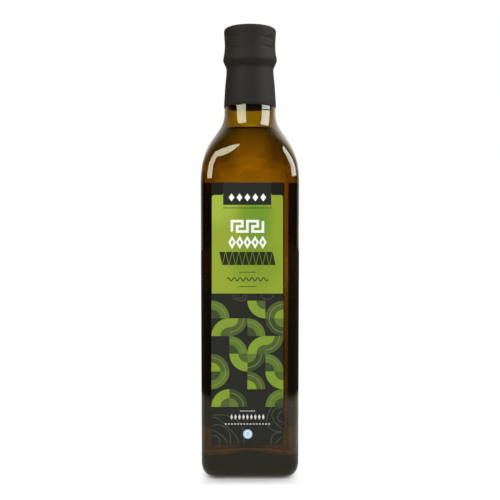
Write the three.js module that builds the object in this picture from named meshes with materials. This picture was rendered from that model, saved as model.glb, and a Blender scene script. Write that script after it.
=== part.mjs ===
import * as THREE from "three";

// A half-litre olive oil bottle with a square body and a round neck, filled and closed.
// Millimetres, +Z up. The origin is the centre of the base, on the surface that the bottle
// stands on, and the front label faces -Y.

// The glass body: it widens a little from the foot to the shoulder
const HALF_FOOT = 28.5;
const HALF_BODY = 29.1;
const CORNER_RADIUS = 8;
const HEEL_INSET = 5.6;
const HEEL_HEIGHT = 9.3;

// The shoulder: a dome, a short slope and a hollow flare up to the neck
const DOME_START = 182.4;
const DOME_INSET = 28.05;
const DOME_RISE = 29.57;
const SHOULDER_SLOPE = THREE.MathUtils.degToRad(35.7);
const FLARE_RADIUS = 19.17;
const FLARE_TOP = 217.3;
const NECK_RADIUS = 15.62;

// The section is square up to here, and then turns into a circle bit by bit.
const SQUARE_UNTIL = 173.5;
const ROUND_FROM = 216;

// The part of the neck that the capsule hides, and the mouth
const WAIST_HEIGHT = 243;
const FINISH_RADIUS = 13.9;
const GLASS_TOP = 265.5;
const BORE_RADIUS = 10;

// The thickness of the glass, and its floor, which is higher in the middle and dips into
// the corners
const WALL = 2.7;
const NECK_WALL = 2.2;
const FLOOR_EDGE = 11.4;
const FLOOR_CENTRE = 12.9;
const FLOOR_FILLET = 6;
const FLOOR_DIP = 3;
const RECESS_HALF = 19;
const RECESS_DEPTH = 1.5;

// The oil stands in the flare under the neck, a small gap away from the glass
const OIL_LEVEL = 204.8;
const OIL_GAP = 0.3;

// The capsule: its outline follows the screw cap that it is shrunk over
const HEIGHT = 268.5;
const CAPSULE_BOTTOM = 220.3;
const CAPSULE_FILM = 0.24;
const CAPSULE_GAP = 0.05;
const SKIRT_RADIUS = 15.9;
const WAIST_RADIUS = 14.42;
const BEAD_RADIUS = 16.45;
const BEAD_HEIGHT = 249.4;
const BAND_RADIUS = 15.75;
const PINCH_RADIUS = 15.52;
const PINCH_HEIGHT = 259;
const CROWN_RADIUS = 15.92;
const CROWN_ROUNDING = 1.5;

// The labels: the front one sits a little to the left of the middle
const LABEL_THICKNESS = 0.2;
const LABEL_GAP = 0.05;
const LABEL_CORNER = 0.8;
const FRONT_LABEL = { width: 41.8, bottom: 20.2, top: 172.6, offset: -1.5 };
const BACK_LABEL = { width: 45.2, bottom: 23, top: 175.2, offset: 0 };

// Steps along one side and round one corner of a section
const SIDE_STEPS = 8;
const CORNER_STEPS = 6;

// The outline of a square with round corners whose sides are at a distance of 1. As share
// goes from 0 to 1, it turns into a circle.
function section(share) {
  const corner = CORNER_RADIUS / HALF_BODY;
  const edge = 1 - corner;
  const centre = new THREE.Vector2(0, 0);
  const points = [];
  for (let side = 0; side < 4; side++) {
    const turn = (side * Math.PI) / 2;
    for (let i = 0; i < SIDE_STEPS; i++) {
      const along = THREE.MathUtils.lerp(-edge, edge, i / SIDE_STEPS);
      points.push(new THREE.Vector2(along, -1).rotateAround(centre, turn));
    }
    for (let i = 0; i < CORNER_STEPS; i++) {
      const point = new THREE.Vector2(0, -corner);
      point.rotateAround(centre, ((i / CORNER_STEPS) * Math.PI) / 2);
      points.push(point.add(new THREE.Vector2(edge, -edge)).rotateAround(centre, turn));
    }
  }
  points.push(points[0]);
  return points.map((point) => point.clone().lerp(point.clone().normalize(), share));
}

// One station of a profile. Share says how round its section is, and dip lowers the
// corners of the section.
function station(half, height, { share = 0, dip = 0 } = {}) {
  return { half, height, share, dip };
}

const squareStation = (point) => station(point.x, point.y);
const roundStation = (half, height) => station(half, height, { share: 1 });

function glassStation(point) {
  const share = THREE.MathUtils.smoothstep(point.y, SQUARE_UNTIL, ROUND_FROM);
  return station(point.x, point.y, { share });
}

// A lathe whose sections are squares, circles or anything between the two. The stations
// run from the axis at the bottom, up the outside, and back to the axis.
function squaredLathe(stations) {
  const outline = stations.map(({ half, height }) => new THREE.Vector2(half, height));
  const sections = stations.map(({ share }) => section(share));
  const geometry = new THREE.LatheGeometry(outline, sections[0].length - 1);
  const position = geometry.getAttribute("position");
  for (let i = 0; i < position.count; i++) {
    const level = i % stations.length;
    const { half, height, dip } = stations[level];
    const point = sections[level][Math.floor(i / stations.length)];
    position.setXYZ(i, point.x * half, point.y * half, height - dip * (point.length() - 1));
  }
  geometry.computeVertexNormals();
  return geometry;
}

// Points of an arc of an ellipse, from one angle to another, both counted from +X.
function arc(centreX, centreY, reachX, reachY, from, to, steps) {
  const curve = new THREE.EllipseCurve(centreX, centreY, reachX, reachY, from, to, to < from);
  return curve.getPoints(steps);
}

// The half width of the body at a height between its heel and its shoulder.
function bodyHalf(height) {
  const share = (height - HEEL_HEIGHT) / (DOME_START - HEEL_HEIGHT);
  return THREE.MathUtils.lerp(HALF_FOOT, HALF_BODY, share);
}

// The heel is a quarter of an ellipse, from the foot up to the side of the body.
function heel() {
  return arc(HALF_FOOT - HEEL_INSET, HEEL_HEIGHT, HEEL_INSET, HEEL_HEIGHT, -Math.PI / 2, 0, 6);
}

// The dome is an elliptical arc that ends where it has the slope of the shoulder.
function dome() {
  const end = Math.atan((Math.tan(SHOULDER_SLOPE) * DOME_RISE) / DOME_INSET);
  return arc(HALF_BODY - DOME_INSET, DOME_START, DOME_INSET, DOME_RISE, 0, end, 9);
}

// The flare is a hollow round from the slope of the shoulder to the upright neck.
function flare() {
  const centreX = NECK_RADIUS + FLARE_RADIUS;
  const start = Math.PI + SHOULDER_SLOPE;
  return arc(centreX, FLARE_TOP, FLARE_RADIUS, FLARE_RADIUS, start, Math.PI, 6);
}

// Moves a run of points inwards, square to the line that they draw. The thickness may
// change evenly from the first point to the last.
function inset(points, from, to = from) {
  const last = points.length - 1;
  return points.map((point, i) => {
    const before = points[Math.max(i - 1, 0)];
    const after = points[Math.min(i + 1, last)];
    const along = after.clone().sub(before).normalize();
    const thickness = THREE.MathUtils.lerp(from, to, i / last);
    return new THREE.Vector2(point.x - along.y * thickness, point.y + along.x * thickness);
  });
}

const sideTop = new THREE.Vector2(bodyHalf(SQUARE_UNTIL), SQUARE_UNTIL);
const shoulder = [sideTop, ...dome(), ...flare()];
const innerShoulder = inset(shoulder, WALL, NECK_WALL);

// The inside of the base: the floor falls from the middle to a fillet along the wall. A
// clearance leaves a gap for what lies inside.
function innerFloor(clearance) {
  const side = bodyHalf(FLOOR_EDGE + FLOOR_FILLET) - WALL - clearance;
  const fillet = FLOOR_FILLET - clearance;
  const edge = side - fillet;
  const low = FLOOR_EDGE + clearance;
  const rise = FLOOR_CENTRE - FLOOR_EDGE;
  const onFloor = (x, y) => station(x, y, { dip: FLOOR_DIP * (x / side) ** 2 });
  const middle = [0, 0.35, 0.65, 0.88].map((share) => {
    return onFloor(edge * share, low + rise * (1 - share ** 2));
  });
  const corner = arc(edge, low + fillet, fillet, fillet, -Math.PI / 2, 0, 4);
  return [...middle, ...corner.map((point) => onFloor(point.x, point.y))];
}

function bottleGeometry() {
  return squaredLathe([
    station(0, RECESS_DEPTH),
    station(RECESS_HALF - 2, RECESS_DEPTH),
    station(RECESS_HALF, 0),
    ...heel().map(squareStation),
    ...shoulder.map(glassStation),
    roundStation(NECK_RADIUS, CAPSULE_BOTTOM),
    roundStation(FINISH_RADIUS, WAIST_HEIGHT),
    roundStation(FINISH_RADIUS, GLASS_TOP),
    roundStation(BORE_RADIUS, GLASS_TOP),
    roundStation(BORE_RADIUS, WAIST_HEIGHT + 4),
    roundStation(FINISH_RADIUS - NECK_WALL, WAIST_HEIGHT - 3),
    ...innerShoulder.map(glassStation).reverse(),
    ...innerFloor(0).reverse(),
  ]);
}

// The oil fills the bottle up to its level.
function oilGeometry() {
  const side = inset(innerShoulder, OIL_GAP);
  const below = side.filter((point) => point.y < OIL_LEVEL);
  const low = below[below.length - 1];
  const high = side[below.length];
  const rim = low.clone().lerp(high, (OIL_LEVEL - low.y) / (high.y - low.y));
  return squaredLathe([
    ...innerFloor(OIL_GAP),
    ...below.map(glassStation),
    glassStation(rim),
    station(0, OIL_LEVEL),
  ]);
}

function capsuleGeometry() {
  const skirtInside = NECK_RADIUS + CAPSULE_GAP;
  const finishInside = FINISH_RADIUS + CAPSULE_GAP;
  const outline = new THREE.SplineCurve([
    new THREE.Vector2(SKIRT_RADIUS, CAPSULE_BOTTOM + 2),
    new THREE.Vector2((SKIRT_RADIUS + WAIST_RADIUS) / 2 + 0.05, 233.4),
    new THREE.Vector2(WAIST_RADIUS, WAIST_HEIGHT),
    new THREE.Vector2((WAIST_RADIUS + BEAD_RADIUS) / 2, 246.6),
    new THREE.Vector2(BEAD_RADIUS, BEAD_HEIGHT),
    new THREE.Vector2(BAND_RADIUS, 254),
    new THREE.Vector2(PINCH_RADIUS, PINCH_HEIGHT),
    new THREE.Vector2(CROWN_RADIUS, HEIGHT - 2.6),
    new THREE.Vector2(CROWN_RADIUS, HEIGHT - CROWN_ROUNDING),
  ]);
  const rim = arc(
    CROWN_RADIUS - CROWN_ROUNDING, HEIGHT - CROWN_ROUNDING,
    CROWN_ROUNDING, CROWN_ROUNDING, 0, Math.PI / 2, 4,
  );
  return squaredLathe([
    roundStation(0, GLASS_TOP + CAPSULE_GAP),
    roundStation(finishInside, GLASS_TOP + CAPSULE_GAP),
    roundStation(finishInside, WAIST_HEIGHT),
    roundStation(skirtInside, CAPSULE_BOTTOM),
    roundStation(skirtInside + CAPSULE_FILM, CAPSULE_BOTTOM),
    ...outline.getPoints(22).map((point) => roundStation(point.x, point.y)),
    ...rim.slice(1).map((point) => roundStation(point.x, point.y)),
    roundStation(0, HEIGHT),
  ]);
}

// A label is a thin sheet with small round corners. It is drawn flat, and each of its
// points is then laid on the side of the body: -1 is the front and 1 the back.
function labelGeometry({ width, bottom, top, offset }, side) {
  const left = offset - width / 2;
  const right = offset + width / 2;
  const r = LABEL_CORNER;
  const outline = new THREE.Shape();
  outline.absarc(right - r, bottom + r, r, -Math.PI / 2, 0);
  outline.absarc(right - r, top - r, r, 0, Math.PI / 2);
  outline.absarc(left + r, top - r, r, Math.PI / 2, Math.PI);
  outline.absarc(left + r, bottom + r, r, Math.PI, 1.5 * Math.PI);
  const options = { depth: LABEL_THICKNESS, bevelEnabled: false, curveSegments: 3 };
  const geometry = new THREE.ExtrudeGeometry(outline, options);
  const position = geometry.getAttribute("position");
  for (let i = 0; i < position.count; i++) {
    const height = position.getY(i);
    const outwards = bodyHalf(height) + LABEL_GAP + position.getZ(i);
    position.setXYZ(i, -side * position.getX(i), side * outwards, height);
  }
  geometry.computeVertexNormals();
  return geometry;
}

function piece(name, geometry, color, roughness, extra = {}) {
  const material = new THREE.MeshStandardMaterial({ color, roughness, metalness: 0, ...extra });
  const mesh = new THREE.Mesh(geometry, material);
  mesh.name = name;
  return mesh;
}

const seeThrough = { transparent: true, opacity: 0.5 };
const bottle = new THREE.Group();
bottle.add(
  piece("bottle", bottleGeometry(), 0x6b4a12, 0.05, seeThrough),
  piece("oil", oilGeometry(), 0x9c6a10, 0.1, seeThrough),
  piece("capsule", capsuleGeometry(), 0x2e2c29, 0.55),
  piece("front_label", labelGeometry(FRONT_LABEL, -1), 0x93a832, 0.45),
  piece("back_label", labelGeometry(BACK_LABEL, 1), 0x272825, 0.5),
);

export default bottle;
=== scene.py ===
import math

import bpy
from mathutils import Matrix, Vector


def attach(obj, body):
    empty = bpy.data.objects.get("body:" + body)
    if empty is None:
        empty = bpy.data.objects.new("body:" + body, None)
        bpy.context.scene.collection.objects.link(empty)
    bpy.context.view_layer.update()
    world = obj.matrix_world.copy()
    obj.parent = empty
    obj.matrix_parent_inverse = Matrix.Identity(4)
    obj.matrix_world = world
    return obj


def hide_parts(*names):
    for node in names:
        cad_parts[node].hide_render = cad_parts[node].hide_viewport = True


# The looks of a full, shut olive oil bottle with a square body, built round its CAD model.
# Lengths are in millimetres up to the point where a mesh is made, and +Z is up.

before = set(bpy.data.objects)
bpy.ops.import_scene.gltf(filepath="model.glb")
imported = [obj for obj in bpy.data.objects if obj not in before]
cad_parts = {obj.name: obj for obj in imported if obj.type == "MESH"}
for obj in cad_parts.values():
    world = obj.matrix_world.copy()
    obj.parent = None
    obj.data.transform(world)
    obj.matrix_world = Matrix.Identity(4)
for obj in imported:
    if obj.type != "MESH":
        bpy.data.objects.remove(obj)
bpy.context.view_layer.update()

MM = 0.001

# The glass, with the same values as the CAD model
HALF_FOOT = 28.5
HALF_BODY = 29.1
CORNER_RADIUS = 8.0
HEEL_INSET = 5.6
HEEL_HEIGHT = 9.3
DOME_START = 182.4
DOME_INSET = 28.05
DOME_RISE = 29.57
SHOULDER_SLOPE = math.radians(35.7)
FLARE_RADIUS = 19.17
FLARE_TOP = 217.3
NECK_RADIUS = 15.62
SQUARE_UNTIL = 173.5
ROUND_FROM = 216.0
WAIST_HEIGHT = 243.0
FINISH_RADIUS = 13.9
GLASS_TOP = 265.5
BORE_RADIUS = 10.0
WALL = 2.7
NECK_WALL = 2.2
FLOOR_EDGE = 11.4
FLOOR_CENTRE = 12.9
FLOOR_FILLET = 6.0
FLOOR_DIP = 3.0
RECESS_HALF = 19.0
RECESS_DEPTH = 1.5

# The oil reaches this far into the wall, so that no air shows between the two
OIL_LEVEL = 204.8
OIL_OVERLAP = 0.3
MENISCUS_RISE = 1.3
MENISCUS_REACH = 2.4

# The capsule, with the same values as the CAD model
HEIGHT = 268.5
CAPSULE_BOTTOM = 220.3
CAPSULE_FILM = 0.24
CAPSULE_GAP = 0.05
SKIRT_RADIUS = 15.9
SKIRT_MIDDLE = 233.4
WAIST_RADIUS = 14.42
BEAD_FOOT = 246.6
BEAD_RADIUS = 16.45
BEAD_HEIGHT = 249.4
BAND_RADIUS = 15.75
BAND_HEIGHT = 254.0
PINCH_RADIUS = 15.52
PINCH_HEIGHT = 259.0
CROWN_RADIUS = 15.92
CROWN_ROUNDING = 1.5

# The film hangs down a little over the front of the bead
BEAD_SAG = 1.4

# The screw thread shows through the film as shallow grooves: where each is on the turn,
# how far it runs to either side, its height in the middle, its fall along the turn, its
# depth and its half width
GROOVES = [
    {"at": 50, "reach": 34, "height": 261.1, "fall": 0.2, "depth": 0.42, "half": 0.8},
    {"at": 48, "reach": 32, "height": 255.6, "fall": 0.2, "depth": 0.38, "half": 0.8},
    {"at": -50, "reach": 44, "height": 262.3, "fall": 1.9, "depth": 0.36, "half": 0.8},
    {"at": -50, "reach": 44, "height": 255.7, "fall": 1.9, "depth": 0.36, "half": 0.8},
    {"at": -92, "reach": 24, "height": 258.6, "fall": 0.4, "depth": 0.34, "half": 0.34},
    {"at": 150, "reach": 30, "height": 257.4, "fall": 0.8, "depth": 0.2, "half": 0.5},
]

# The labels, as (left, right, bottom, top), with the same edges as in the CAD model. Both
# reach a little into the glass, so that no air shows behind them
LABEL_FACE = 0.25
LABEL_OVERLAP = 0.25
LABEL_CORNER = 0.8
LABEL = (-22.4, 19.4, 20.2, 172.6)
LABEL_MIDDLE = -1.5
BACK_LABEL = (-22.6, 22.6, 23, 175.2)

# The front label's print, in thin layers of ink. Fields are (left, right, bottom, top),
# bands and rows are (bottom, top), and the key band is its bottom and its stroke
INK = 0.02
GREEN_EDGE = 108.15
FIELD_MARGIN = 0.25
FIELD = (LABEL[0] + FIELD_MARGIN, LABEL[1] - FIELD_MARGIN, GREEN_EDGE, 165.3)
FIELD_CORNER = 1.4
TAB = (-15.6, 12.3, 159.6, LABEL[3])
TAB_FILLET = 1.2
KEY_BAND = (143.4, 1.5)
LOZENGE_BAND = (133.9, 141.8)
TOOTH_BAND = (124.7, 132.3)
TAB_ROW_MIDDLE = 163.9
DASH_ROW = (157.5, 158.1)
RULE_HEIGHTS = (120.5, 112.2)
WAVE_HEIGHT = 116.4
SMALL_ROW = (39.6, 40.2)
LOZENGE_ROW_MIDDLE = 36.4
BAR_ROW = (32.0, 32.7)
ROUND_MARK = (-1.3, 26.5)

# The picture is a pattern of quarter rounds in squares. Each row, from the top one down,
# says which corner a round is drawn about and which green it has. A dot is left bare. A
# thin line and a core of another green are drawn in each round, at a share of its size
PICTURE = (LABEL[0], LABEL[1], 42.3, 104.0)
PICTURE_CORNERS = ["0121", "1302", "2013", "0230", "3102", "1021"]
PICTURE_GREENS = ["1.02", "0213", ".102", "2031", "1.20", "03.1"]
LINE_SIZE = 0.78
CORE_SIZE = 0.5

# Steps round the fine meshes
SIDE_STEPS = 22
CORNER_STEPS = 18

# The photograph's camera: level, about half way up the bottle
CAMERA_DISTANCE = 550.0
CAMERA_HEIGHT = 133.4
CAMERA_LENS = 64.6

# How far off the soft lights stand, and how far the floor runs
SOFTBOX_DISTANCE = 1500.0
FLOOR_REACH = 40000.0


# Shapes

def lerp(a, b, t):
    return a + (b - a) * t


def smoothstep(low, high, x):
    t = min(max((x - low) / (high - low), 0.0), 1.0)
    return t * t * (3 - 2 * t)


def arc(centre_x, centre_y, reach_x, reach_y, start, end, steps):
    """Points of an arc of an ellipse, from one angle to another."""
    angles = [lerp(start, end, i / steps) for i in range(steps + 1)]
    return [(centre_x + reach_x * math.cos(a), centre_y + reach_y * math.sin(a)) for a in angles]


def section(share):
    """The outline of a square with round corners whose sides are at a distance of 1. As
    share goes from 0 to 1, it turns into a circle."""
    corner = CORNER_RADIUS / HALF_BODY
    edge = 1 - corner
    quarter = [(lerp(-edge, edge, i / SIDE_STEPS), -1.0) for i in range(SIDE_STEPS)]
    quarter += arc(edge, -edge, corner, corner, -math.pi / 2, 0, CORNER_STEPS)[:-1]
    points = []
    for side in range(4):
        c = round(math.cos(side * math.pi / 2))
        s = round(math.sin(side * math.pi / 2))
        for x, y in quarter:
            k = lerp(1.0, 1.0 / math.hypot(x, y), share)
            points.append(((x * c - y * s) * k, (x * s + y * c) * k))
    return points


def station(half, height, share=0.0, dip=0.0):
    """One section of a lathed form. Share says how round it is, and dip lowers its corners."""
    return half, height, share, dip


def glass_station(point):
    return station(point[0], point[1], smoothstep(SQUARE_UNTIL, ROUND_FROM, point[1]))


def round_station(half, height):
    return station(half, height, 1.0)


def ring(half, height, share, dip):
    """The points of one section, in order round the axis."""
    points = section(share)
    return [(x * half, y * half, height - dip * (math.hypot(x, y) - 1)) for x, y in points]


def squared_lathe(stations):
    """Vertices and faces of a closed form through its stations, from pole to pole."""
    count = 4 * (SIDE_STEPS + CORNER_STEPS)
    first, *middle, last = stations
    verts = [(0.0, 0.0, first[1])]
    for s in middle:
        verts += ring(*s)
    verts.append((0.0, 0.0, last[1]))
    top = len(verts) - 1
    faces = [(0, 1 + (i + 1) % count, 1 + i) for i in range(count)]
    for r in range(len(middle) - 1):
        low = 1 + r * count
        high = low + count
        for i in range(count):
            j = (i + 1) % count
            faces.append((low + i, low + j, high + j, high + i))
    rim = 1 + (len(middle) - 1) * count
    faces += [(rim + i, rim + (i + 1) % count, top) for i in range(count)]
    return verts, faces


def inset(points, start, end=None):
    """Moves a run of points inwards, square to the line that they draw."""
    end = start if end is None else end
    last = len(points) - 1
    moved = []
    for i, (x, y) in enumerate(points):
        before = points[max(i - 1, 0)]
        after = points[min(i + 1, last)]
        dx, dy = after[0] - before[0], after[1] - before[1]
        k = lerp(start, end, i / last) / math.hypot(dx, dy)
        moved.append((x - dy * k, y + dx * k))
    return moved


def body_half(height):
    """Half the width of the body between its heel and its shoulder."""
    return lerp(HALF_FOOT, HALF_BODY, (height - HEEL_HEIGHT) / (DOME_START - HEEL_HEIGHT))


def heel():
    return arc(HALF_FOOT - HEEL_INSET, HEEL_HEIGHT, HEEL_INSET, HEEL_HEIGHT, -math.pi / 2, 0, 22)


def body_side():
    heights = [lerp(HEEL_HEIGHT, DOME_START, i / 40) for i in range(1, 40)]
    return [(body_half(z), z) for z in heights]


def shoulder():
    end = math.atan(math.tan(SHOULDER_SLOPE) * DOME_RISE / DOME_INSET)
    dome = arc(HALF_BODY - DOME_INSET, DOME_START, DOME_INSET, DOME_RISE, 0, end, 36)
    flare_x = NECK_RADIUS + FLARE_RADIUS
    flare = arc(
        flare_x, FLARE_TOP, FLARE_RADIUS, FLARE_RADIUS, math.pi + SHOULDER_SLOPE, math.pi, 26
    )
    slope = [
        (lerp(dome[-1][0], flare[0][0], t), lerp(dome[-1][1], flare[0][1], t))
        for t in (0.25, 0.5, 0.75)
    ]
    return dome + slope + flare


def inner_floor(clearance):
    """The inside of the base, from the middle to the wall. A negative clearance reaches
    into the glass."""
    side = body_half(FLOOR_EDGE + FLOOR_FILLET) - WALL - clearance
    fillet = FLOOR_FILLET - clearance
    edge = side - fillet
    low = FLOOR_EDGE + clearance
    rise = FLOOR_CENTRE - FLOOR_EDGE
    flat = [(edge * i / 14, low + rise * (1 - (i / 14) ** 2)) for i in range(14)]
    corner = arc(edge, low + fillet, fillet, fillet, -math.pi / 2, 0, 14)
    return [station(x, y, 0.0, FLOOR_DIP * (x / side) ** 2) for x, y in flat + corner]


def inner_side():
    """The inside of the wall, from above the fillet up to the neck."""
    side = [p for p in body_side() if p[1] > FLOOR_EDGE + FLOOR_FILLET + 3]
    straight = [(x - WALL, y) for x, y in side]
    return straight + inset(shoulder(), WALL, NECK_WALL)


def bottle_stations():
    inside = [
        round_station(FINISH_RADIUS - NECK_WALL, WAIST_HEIGHT - 3),
        *[glass_station(p) for p in reversed(inner_side())],
        *reversed(inner_floor(0.0)),
    ]
    return [
        station(0, RECESS_DEPTH),
        station(RECESS_HALF - 2.4, RECESS_DEPTH),
        station(RECESS_HALF - 1.2, RECESS_DEPTH - 0.3),
        station(RECESS_HALF - 0.4, 0.3),
        station(RECESS_HALF, 0),
        *[glass_station(p) for p in heel() + body_side() + shoulder()],
        round_station(NECK_RADIUS, CAPSULE_BOTTOM),
        round_station(FINISH_RADIUS, WAIST_HEIGHT),
        round_station(FINISH_RADIUS, GLASS_TOP),
        round_station(BORE_RADIUS, GLASS_TOP),
        round_station(BORE_RADIUS, WAIST_HEIGHT + 4),
        *inside,
    ]


def oil_stations():
    """The oil climbs a little where it meets the glass."""
    side = inset(inner_side(), -OIL_OVERLAP)
    wall = [p for p in side if p[1] < OIL_LEVEL + MENISCUS_RISE]
    wall[-1] = (wall[-1][0], OIL_LEVEL + MENISCUS_RISE)
    rim = wall[-1][0] - OIL_OVERLAP
    climb = []
    for i in range(11):
        t = i / 10
        height = OIL_LEVEL + MENISCUS_RISE * (1 - t) ** 2.5
        climb.append(glass_station((rim - MENISCUS_REACH * t, height)))
    return [
        *inner_floor(-OIL_OVERLAP),
        *[glass_station(p) for p in wall],
        *climb,
        glass_station((rim * 0.5, OIL_LEVEL)),
        station(0, OIL_LEVEL),
    ]


def catmull_rom(points, samples):
    """A smooth line through points, sampled evenly between them."""
    last = len(points) - 1
    line = []
    for i in range(samples + 1):
        at = last * i / samples
        k = min(int(at), last - 1)
        t = at - k
        p1, p2 = points[k], points[k + 1]
        p0 = points[max(k - 1, 0)]
        p3 = points[min(k + 2, last)]
        sample = []
        for a, b, c, d in zip(p0, p1, p2, p3):
            v0, v1 = (c - a) / 2, (d - b) / 2
            sample.append(
                (2 * b - 2 * c + v0 + v1) * t**3 + (3 * c - 3 * b - 2 * v0 - v1) * t**2 + v0 * t + b
            )
        line.append(tuple(sample))
    return line


def capsule_stations():
    inside = NECK_RADIUS + CAPSULE_GAP
    finish = FINISH_RADIUS + CAPSULE_GAP
    film = inside + CAPSULE_FILM
    outline = catmull_rom([
        (SKIRT_RADIUS, CAPSULE_BOTTOM + 2),
        ((SKIRT_RADIUS + WAIST_RADIUS) / 2 + 0.05, SKIRT_MIDDLE),
        (WAIST_RADIUS, WAIST_HEIGHT),
        ((WAIST_RADIUS + BEAD_RADIUS) / 2, BEAD_FOOT),
        (BEAD_RADIUS, BEAD_HEIGHT),
        (BAND_RADIUS, BAND_HEIGHT),
        (PINCH_RADIUS, PINCH_HEIGHT),
        (CROWN_RADIUS, HEIGHT - 2.6),
        (CROWN_RADIUS, HEIGHT - CROWN_ROUNDING),
    ], 150)
    rim = arc(
        CROWN_RADIUS - CROWN_ROUNDING, HEIGHT - CROWN_ROUNDING,
        CROWN_ROUNDING, CROWN_ROUNDING, 0, math.pi / 2, 10,
    )
    return [
        round_station(0, GLASS_TOP + CAPSULE_GAP),
        round_station(finish, GLASS_TOP + CAPSULE_GAP),
        round_station(finish, WAIST_HEIGHT),
        round_station(inside, CAPSULE_BOTTOM),
        round_station(film - 0.05, CAPSULE_BOTTOM - 0.01),
        round_station(film, CAPSULE_BOTTOM + 0.06),
        *[round_station(r, z) for r, z in outline],
        *[round_station(r, z) for r, z in rim[1:]],
        round_station(CROWN_RADIUS * 0.45, HEIGHT),
        round_station(0, HEIGHT),
    ]


def groove_depth(angle, height):
    """How far the film is drawn in at a place, by all the grooves of the thread."""
    depth = 0.0
    for g in GROOVES:
        turn = (angle - g["at"] + 180) % 360 - 180
        along = abs(turn) / g["reach"]
        if along < 1:
            line = g["height"] - g["fall"] * turn / g["reach"]
            fade = (1 - along**2) ** 2
            depth += g["depth"] * fade * math.exp(-(((height - line) / g["half"]) ** 2))
    return depth


def sag(angle, height):
    """How far the film hangs down over the bead at a place."""
    front = max(math.cos(math.radians(angle)), 0.0)
    above = smoothstep(BEAD_HEIGHT + 7, BEAD_HEIGHT + 1, height)
    below = smoothstep(WAIST_HEIGHT, BEAD_HEIGHT - 2, height)
    return BEAD_SAG * front**2 * above * below


def shaped_film(verts):
    """Presses the grooves into the outside of the capsule, and lets it hang over the bead."""
    shaped = []
    for x, y, z in verts:
        radius = math.hypot(x, y)
        if radius > FINISH_RADIUS + 0.1 and z > WAIST_HEIGHT:
            angle = math.degrees(math.atan2(x, -y))
            k = 1 - groove_depth(angle, z) / radius
            x, y, z = x * k, y * k, z - sag(angle, z)
        shaped.append((x, y, z))
    return shaped


# Meshes

def new_piece(name, verts, faces, material, slot, smooth=True):
    """Makes a piece of the bottle from points in millimetres."""
    mesh = bpy.data.meshes.new(name)
    mesh.from_pydata([(x * MM, y * MM, z * MM) for x, y, z in verts], [], faces)
    mesh.materials.append(material)
    mesh.validate()
    mesh.polygons.foreach_set("use_smooth", [smooth] * len(mesh.polygons))
    mesh.update()
    piece = bpy.data.objects.new(name, mesh)
    bpy.context.scene.collection.objects.link(piece)
    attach(piece, "root")
    return piece


# Flat shapes of the print, each as its points and its tiles

def polygon(points):
    return points, [list(range(len(points)))]


def rectangle(left, right, bottom, top):
    return polygon([(left, bottom), (right, bottom), (right, top), (left, top)])


def lozenge(x, z, half_width, half_height):
    return polygon([
        (x, z - half_height),
        (x + half_width, z),
        (x, z + half_height),
        (x - half_width, z),
    ])


def disc(x, z, radius):
    return polygon(arc(x, z, radius, radius, 0, 2 * math.pi, 40)[:-1])


def ribbon(points, width, closed=False):
    """A line of even width, with mitred corners."""
    count = len(points)
    sides = []
    for i, (x, z) in enumerate(points):
        before = points[i - 1] if closed or i > 0 else points[i]
        after = points[(i + 1) % count] if closed or i < count - 1 else points[i]
        ax, az = x - before[0], z - before[1]
        bx, bz = after[0] - x, after[1] - z
        if not (ax or az):
            ax, az = bx, bz
        if not (bx or bz):
            bx, bz = ax, az
        a, b = math.hypot(ax, az), math.hypot(bx, bz)
        nx, nz = -az / a - bz / b, ax / a + bx / b
        k = width / (nx * nx + nz * nz)
        sides.append([(x - nx * k, z - nz * k), (x + nx * k, z + nz * k)])
    flat = [p for pair in sides for p in pair]
    tiles = []
    for i in range(count if closed else count - 1):
        j = (i + 1) % count
        tiles.append([2 * i, 2 * j, 2 * j + 1, 2 * i + 1])
    return flat, tiles


def label_outline(left, right, bottom, top):
    r = LABEL_CORNER
    quarter = math.pi / 2
    return polygon([
        *arc(right - r, bottom + r, r, r, -quarter, 0, 6),
        *arc(right - r, top - r, r, r, 0, quarter, 6),
        *arc(left + r, top - r, r, r, quarter, 2 * quarter, 6),
        *arc(left + r, bottom + r, r, r, 2 * quarter, 3 * quarter, 6),
    ])


def green_field():
    """The field's outline runs up round the tab on top in two small hollow corners."""
    left, right, bottom, top = FIELD
    r = FIELD_CORNER
    t = TAB_FILLET
    return polygon([
        (left, bottom),
        (right, bottom),
        *arc(right - r, top - r, r, r, 0, math.pi / 2, 8),
        *arc(TAB[1] + t, top + t, t, t, -math.pi / 2, -math.pi, 6),
        (TAB[1], TAB[2]),
        (TAB[0], TAB[2]),
        *arc(TAB[0] - t, top + t, t, t, 0, -math.pi / 2, 6),
        *arc(left + r, top - r, r, r, math.pi / 2, math.pi, 8),
    ])


def key_band(bottom, unit):
    """Two turns of a meander, with strokes one unit wide."""
    turn = [(0, 0), (0, 4), (4, 4), (4, 2), (2, 2), (2, 0)]
    path = turn + [(x + 6, z) for x, z in turn] + [(12, 0), (12, 4)]
    left = LABEL_MIDDLE - 6 * unit
    return [ribbon([(left + x * unit, bottom + (z + 0.5) * unit) for x, z in path], unit)]


def lozenge_band(bottom, top):
    middle, half = (bottom + top) / 2, (top - bottom) / 2
    shapes = []
    for i in range(-2, 3):
        x = LABEL_MIDDLE + i * 4.45
        outline, _ = lozenge(x, middle, 1.55, half - 1.3)
        shapes.append(ribbon(outline, 1.15, closed=True))
    return shapes


def tooth_band(bottom, top):
    """Tall triangles that point up and down by turns."""
    shapes = []
    for i in range(16):
        x = LABEL_MIDDLE + (i - 7.5) * 1.95
        tip, base = (top, bottom) if i % 2 else (bottom, top)
        points = [(x - 1.7, base), (x + 1.7, base), (x, tip)]
        shapes.append(polygon(points if i % 2 else points[::-1]))
    return shapes


def wave(left, right, height, rise, length, width):
    steps = max(8, round((right - left) / length * 16))
    points = []
    for i in range(steps + 1):
        x = lerp(left, right, i / steps)
        points.append((x, height + rise * math.sin(2 * math.pi * (x - left) / length)))
    return ribbon(points, width)


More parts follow.
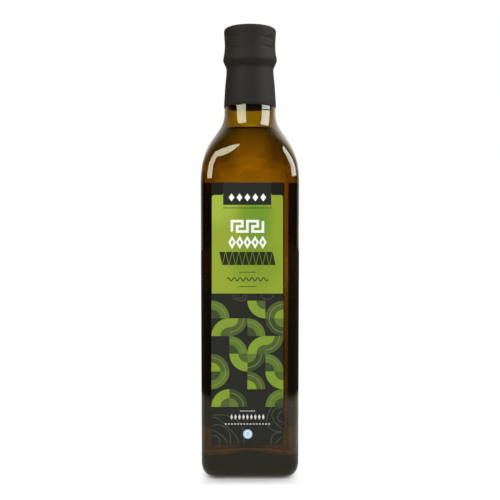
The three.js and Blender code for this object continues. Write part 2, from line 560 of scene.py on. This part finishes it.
def row(count, pitch, shape):
    """Shapes in a row round the middle of the label."""
    return [shape(LABEL_MIDDLE + (i - (count - 1) / 2) * pitch) for i in range(count)]


def picture():
    """The quarter rounds of the picture: the green, the size and the outline of each."""
    left, right, bottom, top = PICTURE
    rows, columns = len(PICTURE_GREENS), len(PICTURE_GREENS[0])
    width, height = (right - left) / columns, (top - bottom) / rows
    for i, (corners, greens) in enumerate(zip(PICTURE_CORNERS, PICTURE_GREENS)):
        for j, (corner, green) in enumerate(zip(corners, greens)):
            if green == ".":
                continue
            k = int(corner)
            x = left + (j + (k in (1, 2))) * width
            z = top - (i + (k in (0, 1))) * height
            start = k * math.pi / 2
            for size in (1.0, LINE_SIZE, CORE_SIZE):
                curve = arc(x, z, size * width, size * height, start, start + math.pi / 2, 20)
                yield int(green), size, (x, z), curve


def ripples(x, z, radii, start, end):
    """Uneven rings about a place, from one angle to another in degrees."""
    shapes = []
    for radius in radii:
        points = []
        for i in range(41):
            a = math.radians(lerp(start, end, i / 40))
            r = radius * (1 + 0.09 * math.sin(3 * a + radius))
            points.append((x + r * math.cos(a), z + r * math.sin(a)))
        shapes.append(ribbon(points, 0.24))
    return shapes


# Meshes of the labels

def plates(name, shapes, low, high, material, slot, side=1):
    """Closed plates that lean with the glass, from one distance off it to another. Side is
    1 for the front of the bottle and -1 for its back."""
    verts, faces = [], []
    for points, tiles in shapes:
        back = len(verts)
        front = back + len(points)
        for depth in (low, high):
            verts += [(x * side, -side * (body_half(z) + depth), z) for x, z in points]
        edges = {edge for tile in tiles for edge in zip(tile, tile[1:] + tile[:1])}
        for tile in tiles:
            faces.append([front + i for i in tile])
            faces.append([back + i for i in reversed(tile)])
        for a, b in edges:
            if (b, a) not in edges:
                faces.append([back + a, back + b, front + b, front + a])
    return new_piece(name, verts, faces, material, slot, smooth=False)


def label(name, bounds, node, material, slot, side):
    outline = [label_outline(*bounds)]
    plate = plates(name, outline, -LABEL_OVERLAP, LABEL_FACE, material, slot, side)
    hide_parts(node)


def printed(name, shapes, layer, ink):
    """Print on the front label, in layers from 1 upwards."""
    low = LABEL_FACE + (layer - 1) * INK
    plates(name, shapes, low, low + INK, ink, "front_paper")


# Materials

class Nodes:
    """A short way to write a node tree."""

    def __init__(self, tree):
        self.tree = tree

    def add(self, kind, inputs=None, **settings):
        node = self.tree.nodes.new(kind)
        for name, value in settings.items():
            setattr(node, name, value)
        for name, value in (inputs or {}).items():
            if isinstance(value, bpy.types.NodeSocket):
                self.tree.links.new(value, node.inputs[name])
            else:
                node.inputs[name].default_value = value
        return node

    def math(self, operation, a, b=0.0):
        return self.add("ShaderNodeMath", {0: a, 1: b}, operation=operation).outputs[0]

    def times(self, a, b):
        return self.math("MULTIPLY", a, b)

    def ramp(self, value, low, high, start=0.0, end=1.0, smooth=True):
        """Goes from start to end while the value goes from low to high."""
        return self.add("ShaderNodeMapRange", {
            "Value": value, "From Min": low, "From Max": high, "To Min": start, "To Max": end,
        }, interpolation_type="SMOOTHSTEP" if smooth else "LINEAR").outputs[0]

    def mix(self, factor, a, b):
        """Goes from one number to another."""
        return self.add("ShaderNodeMix", {"Factor": factor, "A": a, "B": b}).outputs[0]

    def blend(self, factor, a, b):
        """Goes from one colour to another."""
        return self.add("ShaderNodeMix", {
            "Factor": factor, 6: a, 7: b,
        }, data_type="RGBA").outputs[2]

    def mix_shaders(self, factor, a, b):
        return self.add("ShaderNodeMixShader", {0: factor, 1: a, 2: b}).outputs[0]

    def glow(self, strength, colour=(1, 1, 1, 1)):
        return self.add("ShaderNodeEmission", {
            "Strength": strength, "Color": colour,
        }).outputs[0]

    def object_place(self):
        """Where a point of the surface is, in metres from the middle of the base."""
        return self.add("ShaderNodeTexCoord").outputs["Object"]

    def cloud(self, scale, detail):
        """Soft noise from 0 to 1."""
        return self.add("ShaderNodeTexNoise", {
            "Vector": self.object_place(), "Scale": scale, "Detail": detail,
        }).outputs["Fac"]

    def axes(self, place):
        """The X, Y and Z of a place or a direction."""
        return self.add("ShaderNodeSeparateXYZ", {0: place}).outputs

    def off_axis(self, axes):
        """The smaller of the two distances from the X and the Y axis."""
        return self.math(
            "MINIMUM", self.math("ABSOLUTE", axes["X"]), self.math("ABSOLUTE", axes["Y"])
        )


def new_material(name):
    material = bpy.data.materials.new(name)
    material.use_nodes = True
    material.node_tree.nodes.clear()
    return material, Nodes(material.node_tree)


def tone(red, green, blue):
    """A colour as a screen shows it, from 0 to 255, as linear light."""
    linear = []
    for value in (red, green, blue):
        v = value / 255
        linear.append(v / 12.92 if v <= 0.04045 else ((v + 0.055) / 1.055) ** 2.4)
    return (*linear, 1)


def bumps(nodes, scale, height, detail=2.0, normal=None):
    """A normal for a surface with small unevenness, by its size and height in metres."""
    inputs = {"Height": nodes.cloud(scale, detail), "Distance": height, "Strength": 1.0}
    if normal is not None:
        inputs["Normal"] = normal
    return nodes.add("ShaderNodeBump", inputs).outputs["Normal"]


def clear_material(name, ior, colour, density, specular_tint=(1, 1, 1, 1)):
    """Glass or a liquid. Colour and density say what a metre of it absorbs. Gives the
    material, its nodes and its surface."""
    material, nodes = new_material(name)
    surface = nodes.add("ShaderNodeBsdfPrincipled", {
        "Base Color": (1, 1, 1, 1),
        "Roughness": 0.0,
        "IOR": ior,
        "Transmission Weight": 1.0,
        "Specular Tint": specular_tint,
    })
    volume = nodes.add("ShaderNodeVolumeAbsorption", {"Color": colour, "Density": density})
    nodes.add("ShaderNodeOutputMaterial", {
        "Surface": surface.outputs[0],
        "Volume": volume.outputs[0],
    })
    return material, nodes, surface


def painted_glass_shade(nodes):
    """Painted shade in the glass colour: darker in the shoulder, away from the middle of each
    side, and along the lower half of its upright edges."""
    axes = nodes.axes(nodes.object_place())
    off_middle = nodes.off_axis(axes)

    def ramp(value, low, high):
        return nodes.ramp(value, low * MM, high * MM)

    def shade(colour, tint, aside, below, above):
        between = nodes.times(ramp(axes["Z"], *below), ramp(axes["Z"], *above))
        return nodes.blend(nodes.times(ramp(off_middle, *aside), between), colour, tint)

    # Painted shade in the shoulder, away from the middle of each side
    colour = shade(
        (1, 1, 1, 1), (0.64, 0.62, 0.6, 1), aside=(4, 15), below=(172, 190), above=(208, 202)
    )
    # Painted shade along the lower half of the upright edges
    return shade(
        colour, (0.4, 0.42, 0.4, 1), aside=(21.5, 23.5), below=(48, 60), above=(135, 95)
    )


def glass_material():
    """Amber glass, slightly wavy, with painted shade in its colour."""
    material, nodes, surface = clear_material(
        "amber_glass", ior=1.52, colour=(0.809, 0.714, 0.0, 1), density=1440
    )
    nodes.tree.links.new(bumps(nodes, 55, 0.00003), surface.inputs["Normal"])
    # The glass colour carries painted shade
    nodes.tree.links.new(painted_glass_shade(nodes), surface.inputs["Base Color"])
    return material


def oil_material():
    """Golden oil. Its dark specular tint weakens what its outside mirrors."""
    material, _, _ = clear_material(
        "golden_oil", ior=1.47, colour=(0.99, 0.955, 0.0, 1), density=130,
        specular_tint=(0.1, 0.1, 0.1, 1),
    )
    return material


def film_material():
    """Black shrink film: matt, with a fine uneven grain."""
    material, nodes = new_material("black_film")
    cloud = nodes.cloud(70, 3)
    grain = bumps(nodes, 1400, 0.00002, 4)
    surface = nodes.add("ShaderNodeBsdfPrincipled", {
        "Base Color": nodes.blend(cloud, tone(28, 25, 23), tone(36, 32, 29)),
        "Roughness": nodes.ramp(cloud, 0.0, 1.0, 0.6, 0.75, smooth=False),
        "Specular IOR Level": 0.12,
        "Normal": bumps(nodes, 130, 0.00012, 2, grain),
    })
    nodes.add("ShaderNodeOutputMaterial", {"Surface": surface.outputs[0]})
    return material


def paper_surface(nodes, colour, roughness=0.5, gloss=0.15):
    """Satin paper with a fine grain, under any colour of print."""
    surface = nodes.add("ShaderNodeBsdfPrincipled", {
        "Base Color": colour,
        "Roughness": roughness,
        "Specular IOR Level": gloss,
        "Normal": bumps(nodes, 2200, 0.000006),
    })
    nodes.add("ShaderNodeOutputMaterial", {"Surface": surface.outputs[0]})


def ink_material(name, light, dark, gloss=0.15):
    """Print whose colour drifts softly between two tones."""
    material, nodes = new_material(name)
    colour = nodes.blend(nodes.cloud(60, 3), tone(*dark), tone(*light))
    paper_surface(nodes, colour, gloss=gloss)
    return material


def ground_material():
    """The near-black ground of the front label, which is darkest above the green field."""
    material, nodes = new_material("ground_ink")
    axes = nodes.axes(nodes.object_place())
    high = nodes.ramp(axes["Z"], 150 * MM, 160 * MM, smooth=False)
    paper_surface(nodes, nodes.blend(high, tone(35, 37, 31), tone(16, 16, 6)))
    return material


def green_material():
    """The green field: yellow-green, cooler in two ovals in its middle and paler in one at
    its top left."""
    material, nodes = new_material("green_ink")
    axes = nodes.axes(nodes.object_place())

    def spot(x, z, width, height):
        """1 in the middle of an oval, and 0 from its edge on."""
        across = nodes.math("DIVIDE", nodes.math("SUBTRACT", axes["X"], x * MM), width * MM)
        up = nodes.math("DIVIDE", nodes.math("SUBTRACT", axes["Z"], z * MM), height * MM)
        square = nodes.math("ADD", nodes.times(across, across), nodes.times(up, up))
        return nodes.ramp(square, 1.0, 0.0)

    side = nodes.ramp(axes["X"], LABEL[0] * MM, 4 * MM)
    colour = nodes.blend(side, tone(145, 164, 46), tone(139, 160, 40))
    colour = nodes.blend(nodes.times(spot(3, 126, 18, 20), 0.75), colour, tone(120, 147, 38))
    colour = nodes.blend(spot(3.5, 151, 12.5, 22), colour, tone(108, 147, 38))
    colour = nodes.blend(spot(-19, 161, 14, 17), colour, tone(158, 180, 62))
    paper_surface(nodes, colour, 0.42)
    return material


glass = glass_material()
oil = oil_material()
film = film_material()
ground_ink = ground_material()
tab_ink = ink_material("tab_ink", (36, 37, 32), (30, 31, 24))
# Near black all over: the back label's dark print, and painted shade on its paper inside, which
# little light reaches through the bottle
back_ink_and_painted_shade = ink_material("back_ink_and_painted_shade", (20, 20, 19), (15, 15, 14), 0.0)
green_ink = green_material()
white_ink = ink_material("white_ink", (246, 247, 243), (238, 240, 234))
deep_ink = ink_material("deep_ink", (33, 46, 14), (27, 38, 10))
line_ink = ink_material("line_ink", (98, 101, 84), (86, 90, 74))
sky_ink = ink_material("sky_ink", (176, 206, 232), (160, 194, 224))
thin_ink = ink_material("thin_ink", (140, 152, 84), (124, 138, 74))
pale_ink = ink_material("pale_ink", (214, 216, 208), (200, 203, 194))
greens = [
    ink_material("bright_green", (132, 160, 44), (116, 142, 38)),
    ink_material("mid_green", (96, 124, 44), (86, 110, 38)),
    ink_material("olive_green", (82, 100, 44), (72, 90, 38)),
    ink_material("dark_green", (62, 78, 40), (54, 68, 35)),
]


# The pieces

def contour_lines():
    left, right, bottom, _ = LABEL
    field_edge = GREEN_EDGE - 0.4
    return [
        *ripples(left + 0.3, bottom + 0.3, (5, 8.2, 11.5, 15, 18.6), 2, 88),
        *ripples(right - 0.4, 36.5, (3, 6, 9.2), 96, 264),
        *ripples(right - 0.3, bottom + 0.3, (4, 7.2), 94, 176),
        *ripples(-6, field_edge, (2.6, 4), 184, 356),
        *ripples(10, field_edge, (3.2,), 184, 356),
    ]


def dash_row(count, pitch, half_width, bounds):
    """Small bars in a row."""
    return row(count, pitch, lambda x: rectangle(x - half_width, x + half_width, *bounds))


def lozenge_row(count, pitch, middle, half_width, half_height):
    return row(count, pitch, lambda x: lozenge(x, middle, half_width, half_height))


def print_picture():
    """Prints each quarter round in its green, its core in the green two places on, and the
    thin line between them."""
    rounds = {}
    for green, size, centre, curve in picture():
        if size == LINE_SIZE:
            rounds.setdefault((3, "line"), []).append(ribbon(curve, 0.3))
        elif size == CORE_SIZE:
            rounds.setdefault((3, (green + 2) % 4), []).append(polygon([centre] + curve))
        else:
            rounds.setdefault((2, green), []).append(polygon([centre] + curve))
    for (layer, green), shapes in rounds.items():
        ink = thin_ink if green == "line" else greens[green]
        printed(f"picture_{layer}_{green}", shapes, layer, ink)


def print_front_label():
    """The print, from the paper upwards."""
    printed("tab_plate", [rectangle(*TAB)], 1, tab_ink)
    printed("contour_lines", contour_lines(), 1, line_ink)
    print_picture()
    printed("green_field", [green_field()], 1, green_ink)
    printed("tab_lozenges", lozenge_row(5, 4.6, TAB_ROW_MIDDLE, 1.7, 2.3), 2, white_ink)
    printed("white_bands", key_band(*KEY_BAND) + lozenge_band(*LOZENGE_BAND), 2, white_ink)
    printed("dark_band", tooth_band(*TOOTH_BAND), 2, deep_ink)
    rules = [rectangle(-6.5, 3.6, z - 0.16, z + 0.16) for z in RULE_HEIGHTS]
    printed("fine_marks", [
        *dash_row(19, 1.5, 0.4, DASH_ROW),
        *rules,
        wave(-13.4, 10.4, WAVE_HEIGHT, 0.95, 3.4, 0.5),
    ], 2, deep_ink)
    printed("pale_marks", [
        *dash_row(7, 1.3, 0.35, SMALL_ROW),
        *lozenge_row(9, 2.3, LOZENGE_ROW_MIDDLE, 0.75, 1.7),
        *dash_row(15, 1.8, 0.45, BAR_ROW),
    ], 2, pale_ink)
    printed("round_mark", [disc(*ROUND_MARK, 2.7)], 2, sky_ink)
    circle, _ = disc(*ROUND_MARK, 1.5)
    printed("round_mark_ring", [ribbon(circle, 0.5, closed=True)], 3, white_ink)


bottle = new_piece("bottle_glass", *squared_lathe(bottle_stations()), glass, "amber_glass")
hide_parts("bottle")
contents = new_piece("oil_fill", *squared_lathe(oil_stations()), oil, "golden_oil")
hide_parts("oil")
capsule_verts, capsule_faces = squared_lathe(capsule_stations())
capsule = new_piece(
    "capsule_film", shaped_film(capsule_verts), capsule_faces, film, "black_film"
)
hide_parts("capsule")
label("front_label_paper", LABEL, "front_label", ground_ink, "front_paper", 1)
label("back_label_paper", BACK_LABEL, "back_label", back_ink_and_painted_shade, "back_paper", -1)
print_front_label()


# The studio: a white room, with a tone of its own for what the glass mirrors and for what
# is seen through it. Distances on the floor are in metres

def reflected(nodes):
    """1 for a ray that a shiny surface mirrors, and 0 for any other ray."""
    path = nodes.add("ShaderNodeLightPath").outputs
    return nodes.times(path["Is Glossy Ray"], path["Is Reflection Ray"])


def mirrored_room(nodes, axes):
    """Dark in front of the bottle, and brighter to the right."""
    back_or_up = nodes.math("ADD", axes["Y"], nodes.times(axes["Z"], 0.2))
    behind = nodes.ramp(back_or_up, 0.2, 0.85, 0.03, 1.1)
    to_right = nodes.ramp(axes["X"], -0.5, 0.5, 0.6, 1.15)
    return nodes.times(behind, to_right)


def room_through_glass(nodes, axes):
    """Brightest straight out from each side where it is nearly level, and darkest straight
    out further up."""
    turned = nodes.off_axis(axes)
    level = nodes.ramp(turned, 0.0, 0.04, 1.35, 0.85)
    straight = nodes.mix(nodes.ramp(axes["Z"], 0.065, 0.1), level, 0.8)
    steep = nodes.ramp(turned, 0.0, 0.3, 0.1, 1.2, smooth=False)
    ahead = nodes.mix(nodes.ramp(axes["Z"], 0.14, 0.18), straight, steep)
    return nodes.times(ahead, nodes.ramp(turned, 0.1, 0.45, 1.0, 0.5))


def studio_world():
    """White to the eye, and brighter from the right for what it lights."""
    world = bpy.data.worlds.new("studio")
    world.use_nodes = True
    world.node_tree.nodes.clear()
    nodes = Nodes(world.node_tree)
    axes = nodes.axes(nodes.add("ShaderNodeTexCoord").outputs["Generated"])
    path = nodes.add("ShaderNodeLightPath").outputs
    mirror = reflected(nodes)
    from_right = nodes.ramp(axes["X"], 0.4, 1.0, 1.0, 2.4)
    strength = nodes.mix(mirror, from_right, mirrored_room(nodes, axes))
    strength = nodes.mix(path["Is Transmission Ray"], strength, room_through_glass(nodes, axes))
    strength = nodes.mix(path["Is Camera Ray"], strength, 1.0)
    colour = nodes.blend(mirror, (1, 1, 1, 1), (1, 0.96, 0.8, 1))
    sky = nodes.add("ShaderNodeBackground", {"Color": colour, "Strength": strength})
    nodes.add("ShaderNodeOutputWorld", {"Surface": sky.outputs[0]})
    bpy.context.scene.world = world


def floor_to_the_eye(nodes, axes):
    """White without a horizon: only close to the bottle does it take shade."""
    across = nodes.times(nodes.math("ABSOLUTE", axes["X"]), 1.45)
    reach = nodes.math("MAXIMUM", across, nodes.math("ABSOLUTE", axes["Y"]))
    paint = nodes.add("ShaderNodeBsdfDiffuse", {"Color": (0.9, 0.9, 0.9, 1)}).outputs[0]
    return nodes.mix_shaders(nodes.ramp(reach, 0.03, 0.045), paint, nodes.glow(1.02))


def floor_through_glass(nodes, axes, distance):
    """A glow seen only through the glass, with a painted shadow of the bottle: greyer the nearer it
    is, darkest close by in line with the bottle's middle, and a little green close by.
    """
    across = nodes.math("ABSOLUTE", axes["X"])
    # Painted shadow of the bottle, darkest in line with its middle
    under = nodes.ramp(across, 0.0, 0.025, 0.0, 0.6, smooth=False)
    scale = nodes.math("LOGARITHM", distance, math.e)
    away = nodes.ramp(scale, math.log(0.15), math.log(1.5), 0.2, 0.95, smooth=False)
    near = nodes.mix(nodes.ramp(distance, 0.08, 0.14), under, away)
    far = nodes.ramp(distance, 2.6, 2.8, 0.0, 0.3, smooth=False)
    whiten = nodes.ramp(distance, 0.2, 0.7, smooth=False)
    colour = nodes.blend(whiten, (0.78, 1, 0.6, 1), (1, 1, 1, 1))
    return nodes.glow(nodes.math("ADD", near, far), colour)


def mirrored_floor(nodes, axes, distance):
    """A pale glowing sheet, seen only in reflections: painted light that ends a little way off and
    is brighter to the right.
    """
    edge = nodes.ramp(distance, 0.28, 0.34, 0.6, 0.06)
    to_right = nodes.ramp(axes["X"], 0.05, 0.12, 1.0, 1.7)
    return nodes.glow(nodes.times(edge, to_right), (1, 0.97, 0.72, 1))


def floor_material():
    material, nodes = new_material("white_floor")
    place = nodes.add("ShaderNodeNewGeometry").outputs["Position"]
    distance = nodes.add("ShaderNodeVectorMath", {0: place}, operation="LENGTH").outputs["Value"]
    axes = nodes.axes(place)
    path = nodes.add("ShaderNodeLightPath").outputs
    direct = nodes.mix_shaders(
        path["Is Transmission Ray"],
        floor_to_the_eye(nodes, axes),
        floor_through_glass(nodes, axes, distance),
    )
    surface = nodes.mix_shaders(
        reflected(nodes), direct, mirrored_floor(nodes, axes, distance)
    )
    nodes.add("ShaderNodeOutputMaterial", {"Surface": surface})
    return material


def studio_floor():
    side = FLOOR_REACH * MM
    mesh = bpy.data.meshes.new("floor")
    mesh.from_pydata(
        [(-side, -side, 0), (side, -side, 0), (side, side, 0), (-side, side, 0)], [], [(0, 1, 2, 3)]
    )
    mesh.materials.append(floor_material())
    floor = bpy.data.objects.new("floor", mesh)
    bpy.context.scene.collection.objects.link(floor)


def softbox(name, azimuth, width, bottom, top, radiance, colour):
    """An upright soft light that only shows in reflections. The azimuth is in degrees, to
    the camera's right."""
    turn = math.radians(azimuth)
    light = bpy.data.lights.new(name, "AREA")
    light.shape = "RECTANGLE"
    light.size = width * MM
    light.size_y = (top - bottom) * MM
    light.color = colour
    light.energy = radiance * math.pi * light.size * light.size_y
    lamp = bpy.data.objects.new(name, light)
    place = Vector((math.sin(turn), -math.cos(turn), 0)) * SOFTBOX_DISTANCE
    place.z = (bottom + top) / 2
    lamp.location = place * MM
    lamp.rotation_euler = (math.pi / 2, 0, turn)
    lamp.visible_camera = False
    lamp.visible_diffuse = False
    lamp.visible_transmission = False
    bpy.context.scene.collection.objects.link(lamp)


def camera():
    data = bpy.data.cameras.new("camera")
    data.sensor_width = 36
    data.lens = CAMERA_LENS
    data.clip_start = 0.01
    lens = bpy.data.objects.new("camera", data)
    lens.location = (0, -CAMERA_DISTANCE * MM, CAMERA_HEIGHT * MM)
    lens.rotation_euler = (math.pi / 2, 0, 0)
    bpy.context.scene.collection.objects.link(lens)
    bpy.context.scene.camera = lens


studio_world()
studio_floor()
softbox(
    "left_softbox", azimuth=-40.5, width=1180, bottom=425, top=2700,
    radiance=10.4, colour=(1.0, 0.98, 0.71),
)
softbox(
    "right_softbox", azimuth=77.5, width=1240, bottom=485, top=2890,
    radiance=10.6, colour=(0.95, 1.0, 0.92),
)
camera()

# Light needs many bounces to cross the glass and the oil
scene = bpy.context.scene
scene.view_settings.view_transform = "Standard"
scene.cycles.max_bounces = 32
scene.cycles.transmission_bounces = 32
scene.cycles.glossy_bounces = 12
scene.cycles.caustics_reflective = False
scene.cycles.caustics_refractive = False
